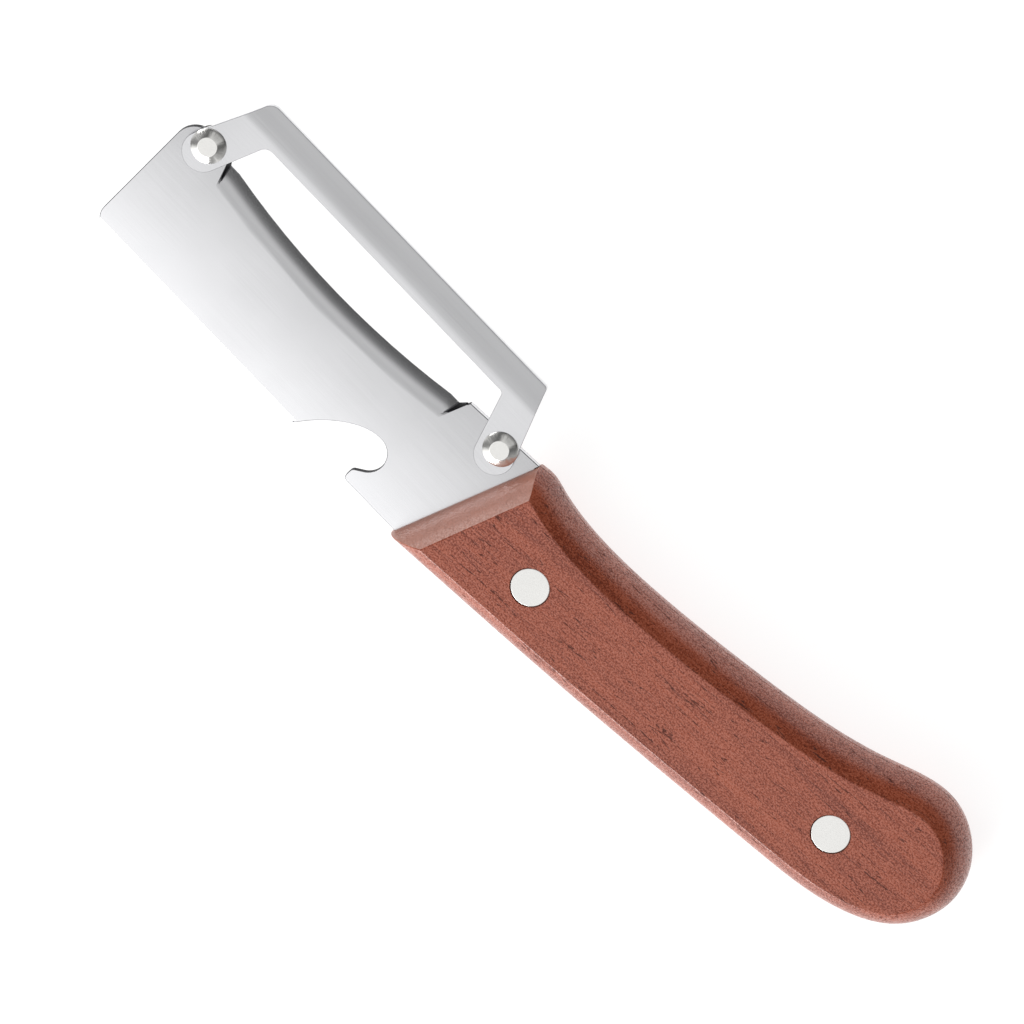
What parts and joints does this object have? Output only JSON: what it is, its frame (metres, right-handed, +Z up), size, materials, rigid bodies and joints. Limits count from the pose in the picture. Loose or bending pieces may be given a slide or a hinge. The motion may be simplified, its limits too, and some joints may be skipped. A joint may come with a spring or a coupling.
{
  "type": "fruit peeling knife",
  "caption": "Fixed-blade fruit and cane peeling knife: steel plate with a bent peeling edge behind a riveted guard, a bottle-opener notch and a curved wooden handle.",
  "frame": {"origin": "on the lower flat of the handle, midway between the two handle rivets", "axes": "+X along the blade to its tip, +Y to the cutting edge, +Z up from the flat the knife lies on, on the side that carries the guard"},
  "size_m": [0.248, 0.0533, 0.018],
  "materials": {
    "handle_wood": "satin",
    "blade_steel": "satin",
    "rivet_steel": "polished"
  },
  "bodies": {
    "root": {"blade": "blade_steel", "peeler_guard": "blade_steel", "guard_rivet_front": "rivet_steel", "guard_rivet_rear": "rivet_steel", "handle_scale_upper": "handle_wood", "handle_scale_lower": "handle_wood", "handle_rivet_front_sleeve": "rivet_steel", "handle_rivet_rear_sleeve": "rivet_steel", "handle_rivet_front_pin": "rivet_steel", "handle_rivet_rear_pin": "rivet_steel"}
  },
  "joints": []
}
